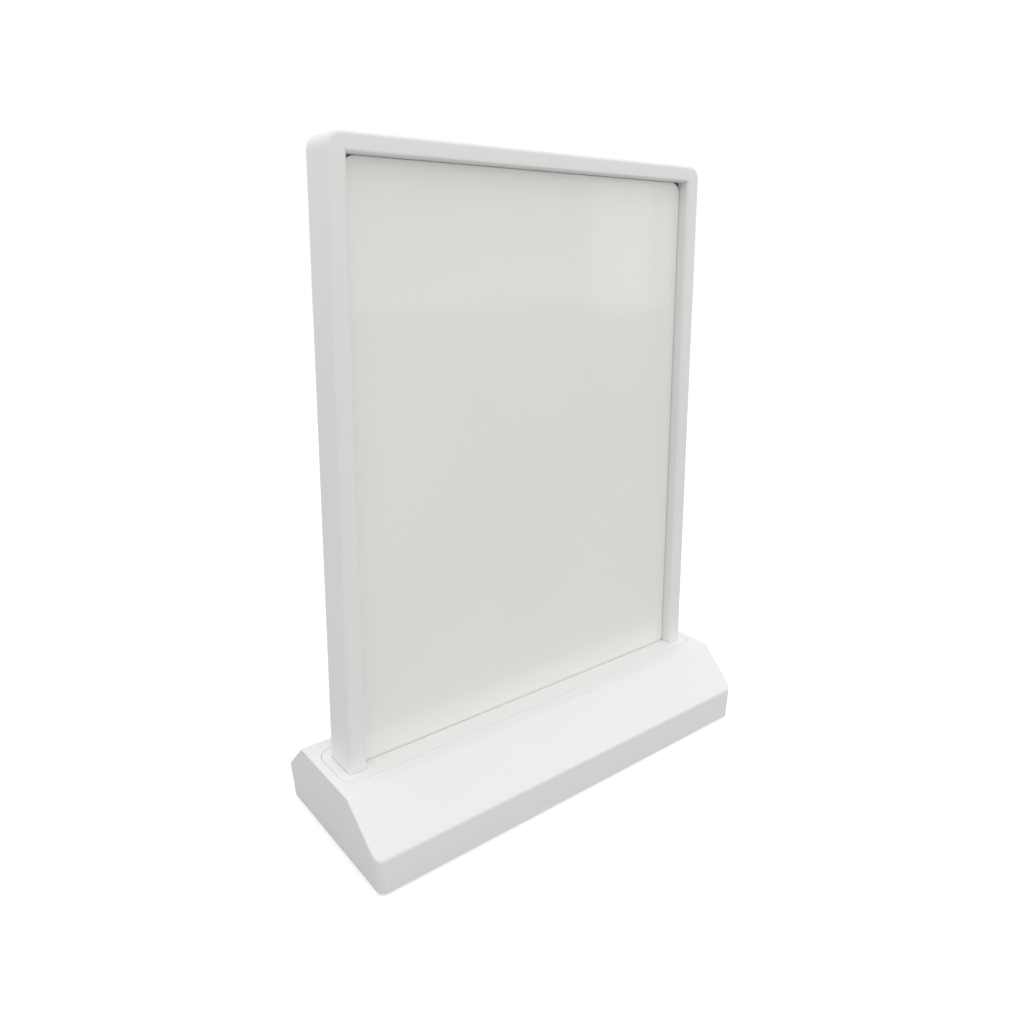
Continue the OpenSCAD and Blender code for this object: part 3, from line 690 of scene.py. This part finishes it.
# %% Put the bosses in
def join(shape, other):
    """Adds another shape to the first one as a separate shell."""
    mesh = bpy.data.meshes.new("joined")
    other.to_mesh(mesh)
    other.free()
    shape.from_mesh(mesh)
    bpy.data.meshes.remove(mesh)


cover_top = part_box("bottom_cover")[1].z
cover_x, cover_y = 0.0793, 0.0268
ear_x, ear_y, ear_top = 0.069, 0.016, 0.019
board_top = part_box("control_board")[1].z
board_y = 0.0209
board_xs = (0.009, 0.059)
overlap = 0.00002
roof = base_high.z - wall + overlap
bosses = [(x, y, cover_top, base_high.z) for x in (-cover_x, cover_x) for y in (-cover_y, cover_y)]
bosses += [(0, cover_y, cover_top, base_high.z)]
bosses += [(x, y, ear_top, roof) for x in (-ear_x, ear_x) for y in (-ear_y, ear_y)]
bosses += [(x, board_y, board_top, base_high.z) for x in board_xs]
for x, y, low, high in bosses:
    join(base, boss(x, y, low, high))
print("bosses:", len(bosses))

# %% [markdown]
# ## A finished piece
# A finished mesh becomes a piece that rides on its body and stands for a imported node. Flat faces next
# to small rounds shade best with weighted normals, so that is the one modifier left on.

# %% Finish the shell
CRISP_DEGREES = 35


def add_piece(name, shape, body, slot, *replaced):
    """A piece with smooth shading and crisp edges, its finish, its body and the nodes it stands for."""
    mesh = bpy.data.meshes.new(name)
    shape.to_mesh(mesh)
    shape.free()
    mesh.materials.append(finishes[slot])
    mesh.shade_smooth()
    mesh.set_sharp_from_angle(angle=math.radians(CRISP_DEGREES))
    piece = bpy.data.objects.new(name, mesh)
    scene.collection.objects.link(piece)
    piece.modifiers.new("even_shading", "WEIGHTED_NORMAL").keep_sharp = True
    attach(piece, body)
    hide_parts(*replaced)
    print(name, len(mesh.polygons), "faces")


add_piece("base_shell", base, "base", "white_shell", "base_housing")

# %% [markdown]
# ## Socket
# The socket already has the right shape. A copy of it is merged into one skin, and its flat faces are
# cleaned of extra edges. Its two pockets get round inner corners and are drawn in a little towards the
# legs, so that only a fine line shows round each foot.

# %% Round the socket's pockets
FLAT_DEGREES = 0.3


def skin(node):
    """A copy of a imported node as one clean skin."""
    shape = bmesh.new()
    shape.from_mesh(nodes[node].data)
    bmesh.ops.remove_doubles(shape, verts=shape.verts, dist=MERGE)
    bmesh.ops.dissolve_limit(shape, angle_limit=math.radians(FLAT_DEGREES), verts=shape.verts,
                             edges=shape.edges)
    return shape


leg_w = 0.0065
gap = 0.0003
draw_in = 0.0002
leg_mid = rails_high.x - leg_w / 2
pocket_x = leg_w / 2 + gap
pocket_y = rails_high.y + gap


def at_pocket_corner(co):
    """Whether a point lies on a corner of one of the two pockets."""
    return near(abs(abs(co.x) - leg_mid), pocket_x) and near(abs(co.y), pocket_y)


socket = skin("panel_socket")
corners = edges_along(socket, "z", at_pocket_corner)
soften(socket, corners, radius=0.0015, segments=5)
for vert in socket.verts:
    off = abs(vert.co.x) - leg_mid
    if abs(off) < pocket_x + TOUCH and abs(vert.co.y) < pocket_y + TOUCH:
        vert.co.x -= math.copysign(1, vert.co.x) * draw_in * off / pocket_x
        vert.co.y -= draw_in * vert.co.y / pocket_y
print("pocket corners rounded:", len(corners))

# %% [markdown]
# ## Pieces that only need their edges broken
# The bottom cover, the charging port's shell and the foam pad have the right shape too. Like the
# socket, each gets a small round on its sharp edges that catches the light.

# %% Break the edges of moulded pieces
def eased(shape, radius):
    """The shape with a small round on its sharp edges."""
    soften(shape, [edge for edge in shape.edges if is_sharp(edge)], radius, segments=2, clamp=True)
    return shape


add_piece("socket_plate", eased(socket, 0.0001), "base", "white_shell", "panel_socket")
add_piece("underside_cover", eased(skin("bottom_cover"), 0.0002), "base", "white_shell", "bottom_cover")
add_piece("port_shell", eased(skin("usb_shell"), 0.00008), "base", "port_steel", "usb_shell")
add_piece("foam_pad", eased(skin("battery_pad"), 0.00015), "base", "pad_foam", "battery_pad")

# %% [markdown]
# ## Frame
# The frame is one moulding: two legs and a top rail, with no bottom rail. Its outline is eight points,
# pulled from front to back. The two top corners are rounded widely first. Then cuts in line with the
# inner edges part the legs' faces from the rail's, so that the next rounds run evenly.

# %% Shape the frame
SNAP = 1e-6
rail_w = 0.0062
half_w, half_t, foot_z, top_z = rails_high.x, rails_high.y, rails_low.z, rails_high.z
leg_in = half_w - leg_w
rail_z = top_z - rail_w
outline = [(-half_w, foot_z), (-leg_in, foot_z), (-leg_in, rail_z), (leg_in, rail_z),
           (leg_in, foot_z), (half_w, foot_z), (half_w, top_z), (-half_w, top_z)]
border = bar(outline, "y", -half_t, half_t)
top_corners = edges_along(border, "y", lambda co: near(abs(co.x), half_w) and near(co.z, top_z))
soften(border, top_corners, radius=0.005, segments=12)
for point, across in (((-leg_in, 0, 0), "x"), ((leg_in, 0, 0), "x"), ((0, 0, rail_z), "z")):
    bmesh.ops.bisect_plane(border, geom=all_of(border), plane_co=point, plane_no=AXES[across], dist=SNAP)
print("frame corners rounded:", len(top_corners))

# %% [markdown]
# A softer round now runs all the way along the outer edges on both faces, and another along the inner
# edges. The feet keep their square ends, which are hidden in the socket.

# %% Round the frame's edges
def on_face(co):
    """Whether a point lies on the frame's front or rear face."""
    return near(abs(co.y), half_t)


def on_outside(edge):
    """Whether an edge lies on the outer half of a leg or of the rail, and not under a foot."""
    first, second = (vert.co for vert in edge.verts)
    beyond_leg = abs(first.x + second.x) / 2 > half_w - leg_w / 2
    beyond_rail = (first.z + second.z) / 2 > top_z - rail_w / 2
    return (beyond_leg or beyond_rail) and max(first.z, second.z) > foot_z + TOUCH


def on_inside(co):
    """Whether a point lies on an inner edge of a leg or of the rail."""
    return on_face(co) and abs(co.x) < leg_in + TOUCH and co.z < rail_z + TOUCH


outer = [edge for edge in edges_where(border, on_face) if on_outside(edge) and is_sharp(edge)]
soften(border, outer, radius=0.0013, segments=5)
inner = [edge for edge in edges_where(border, on_inside) if edge.is_convex and is_sharp(edge)]
soften(border, inner, radius=0.0012, segments=5)
print("frame edges rounded:", len(outer), "outer,", len(inner), "inner")

# %% [markdown]
# A groove inside the frame takes the edge of the light guide, and a countersunk hole through each leg
# takes the screw that holds the lamp rail. Both are carved out.

# %% Carve the groove and the screw holes
groove_wall = 0.002
groove_x, groove_y, groove_z = half_w - groove_wall, 0.0018, top_z - groove_wall
groove = bar([(-groove_x, 0), (groove_x, 0), (groove_x, groove_z), (-groove_x, groove_z)], "y",
             -groove_y, groove_y)
groove_corners = edges_along(groove, "y", lambda co: near(co.z, groove_z))
soften(groove, groove_corners, radius=0.003, segments=8)
border = carve(border, groove)

head_r, shank_r = 0.0021, 0.0011
clear_of_face, sink_depth, hole_depth = 0.001, 0.0012, 0.004
screws_low, screws_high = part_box("rail_screws")
screw_z = (screws_low.z + screws_high.z) / 2
for side in (-1, 1):
    sink = turned([(0, clear_of_face), (head_r, clear_of_face), (head_r, 0), (shank_r, -sink_depth),
                   (shank_r, -hole_depth), (0, -hole_depth)], "x", (0, 0, 0))
    bmesh.ops.scale(sink, vec=(side, 1, 1), verts=sink.verts)
    bmesh.ops.translate(sink, vec=(side * half_w, 0, screw_z), verts=sink.verts)
    bmesh.ops.recalc_face_normals(sink, faces=sink.faces)
    border = carve(border, sink)
add_piece("panel_border", border, "panel", "white_frame", "panel_frame")

# %% [markdown]
# ## Opal sheets
# Each sheet is a thin plate with rounded top corners, drawn a hair larger than packed so that the line
# between it and the frame stays fine. A tiny round along its edges gives the thin bright line that
# polished acrylic shows.

# %% Make the two sheets
wider, taller = 0.0003, 0.0004
for name, node in (("front_opal", "front_sheet"), ("rear_opal", "rear_sheet")):
    low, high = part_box(node)
    half, top = high.x + wider, high.z + taller
    sheet = bar([(-half, low.z), (half, low.z), (half, top), (-half, top)], "y", low.y, high.y)
    soften(sheet, edges_along(sheet, "y", lambda co: near(co.z, top)), radius=0.0045, segments=12)
    soften(sheet, [edge for edge in sheet.edges if is_sharp(edge)], radius=0.0002, segments=3)
    add_piece(name, sheet, "panel", "opal_sheet", node)

# %% [markdown]
# ## Feet
# A foot is round, so it is a profile turned once: a sole with a slight hollow inside a soft rim.

# %% Turn the feet
feet_low, feet_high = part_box("rubber_feet")
foot_r = 0.006
hollow_r, hollow = 0.0042, 0.00015
foot_profile = [(0, hollow), (hollow_r, hollow), (0.0046, 0), (0.0054, 0), (0.0058, 0.00012),
                (foot_r, 0.0005), (foot_r, feet_high.z), (0, feet_high.z)]
feet = bmesh.new()
for x in (feet_low.x + foot_r, feet_high.x - foot_r):
    for y in (feet_low.y + foot_r, feet_high.y - foot_r):
        join(feet, turned(foot_profile, "z", (x, y, 0)))
add_piece("soft_feet", feet, "base", "foot_rubber", "rubber_feet")

# %% [markdown]
# ## Button and light pipe
# These two are round as well. The button's cap is slightly hollow for a fingertip, and a flange keeps
# it in the shell. The light pipe has a flange too, and ends in a low dome.

# %% Turn the button and the light pipe
cap_r = 0.0025
flange_r = (button_high.x - button_low.x) / 2
flange_top = button_low.y + 0.001
face_y = button_high.y
cap = turned([(0, button_low.y), (flange_r, button_low.y), (flange_r, flange_top), (cap_r, flange_top),
              (cap_r, face_y - 0.0003), (0.00242, face_y - 0.0001), (0.0022, face_y),
              (0.0014, face_y - 0.00015), (0, face_y - 0.0002)], "y", (button.x, 0, button.z))
add_piece("button_cap", cap, "button", "white_shell", "power_button")

pipe_r = 0.0012
collar_r = (pipe_high.x - pipe_low.x) / 2
collar_back, collar_front = pipe_low.y + 0.0011, pipe_low.y + 0.0021
dome = turned([(0, pipe_low.y), (pipe_r, pipe_low.y), (pipe_r, collar_back), (collar_r, collar_back),
               (collar_r, collar_front), (pipe_r, collar_front), (pipe_r, pipe_high.y - 0.00025),
               (0.0008, pipe_high.y - 0.00008), (0, pipe_high.y)], "y", (pipe_mid.x, 0, pipe_mid.z))
add_piece("charge_lens", dome, "base", "pipe_clear", "light_pipe")

# %% [markdown]
# ## Leads
# Inside the base, two leads run from the battery to the board and two from the board to the contacts.
# Each is a round wire held at both ends, so a curve through its bends with a round section is the
# natural way to make it. Each bend becomes three points close together, which ease it.

# %% Draw a wire
LEAD_R = 0.0006
BEND_REACH = 0.0015


def lead(name, points, finish, node):
    """A wire along a list of points in millimetres, with its bends eased."""
    path = [Vector(point) / 1000 for point in points]
    course = [path[0]]
    for before, bend, after in zip(path, path[1:], path[2:]):
        to_before, to_after = before - bend, after - bend
        course += [bend + to_before.normalized() * min(BEND_REACH, to_before.length / 2), bend,
                   bend + to_after.normalized() * min(BEND_REACH, to_after.length / 2)]
    course.append(path[-1])
    wire = bpy.data.curves.new(name, "CURVE")
    wire.dimensions = "3D"
    wire.bevel_depth = LEAD_R
    wire.bevel_resolution = 3
    wire.use_fill_caps = True
    line = wire.splines.new("NURBS")
    line.points.add(len(course) - 1)
    for point, co in zip(line.points, course):
        point.co = (*co, 1)
    line.order_u = 3
    line.use_endpoint_u = True
    line.resolution_u = 6
    wire.materials.append(finishes[finish])
    piece = bpy.data.objects.new(name, wire)
    scene.collection.objects.link(piece)
    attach(piece, "base")
    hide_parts(node)
    print(name, "through", len(path), "points")


print("lead thickness", 2 * LEAD_R, "m")

# %% [markdown]
# The lamp leads start under the two contacts and the battery leads at the cells' tabs. All four end at
# the board's plugs and keep clear of each other on the way. Their places are in millimetres.

# %% Run the leads
contact_x, contact_z = 6, 3.3
front_track, rear_track = 7.2, 9.6
plug_y, plug_z = 11.4, 7.4
lamp_red_x, lamp_black_x = 25.2, 22.8
lead("lamp_lead_red", [(contact_x, 0, contact_z), (contact_x, front_track, contact_z),
                       (lamp_red_x, front_track, plug_z), (lamp_red_x, plug_y, plug_z)],
     "lead_skin", "lamp_leads")
lead("lamp_lead_black", [(-contact_x, 0, contact_z), (-contact_x, rear_track, contact_z),
                         (lamp_black_x, rear_track, plug_z), (lamp_black_x, plug_y, plug_z)],
     "lead_black", "lamp_leads")

tab_y, tab_z, low_z = -5.9, 12.4, 4.6
middle_tab_x, end_tab_x = 0, 51.3
turn_x, cell_red_x, cell_black_x = 44.4, 46.8, 49.2
lead("battery_lead_red", [(middle_tab_x, tab_y, tab_z), (turn_x, tab_y, tab_z),
                          (cell_red_x, tab_y, low_z), (cell_red_x, front_track, low_z),
                          (cell_red_x, rear_track, plug_z), (cell_red_x, plug_y, plug_z)],
     "lead_skin", "battery_leads")
lead("battery_lead_black", [(end_tab_x, tab_y, tab_z), (cell_black_x, tab_y, low_z),
                            (cell_black_x, front_track, low_z), (cell_black_x, rear_track, plug_z),
                            (cell_black_x, plug_y, plug_z)], "lead_black", "battery_leads")
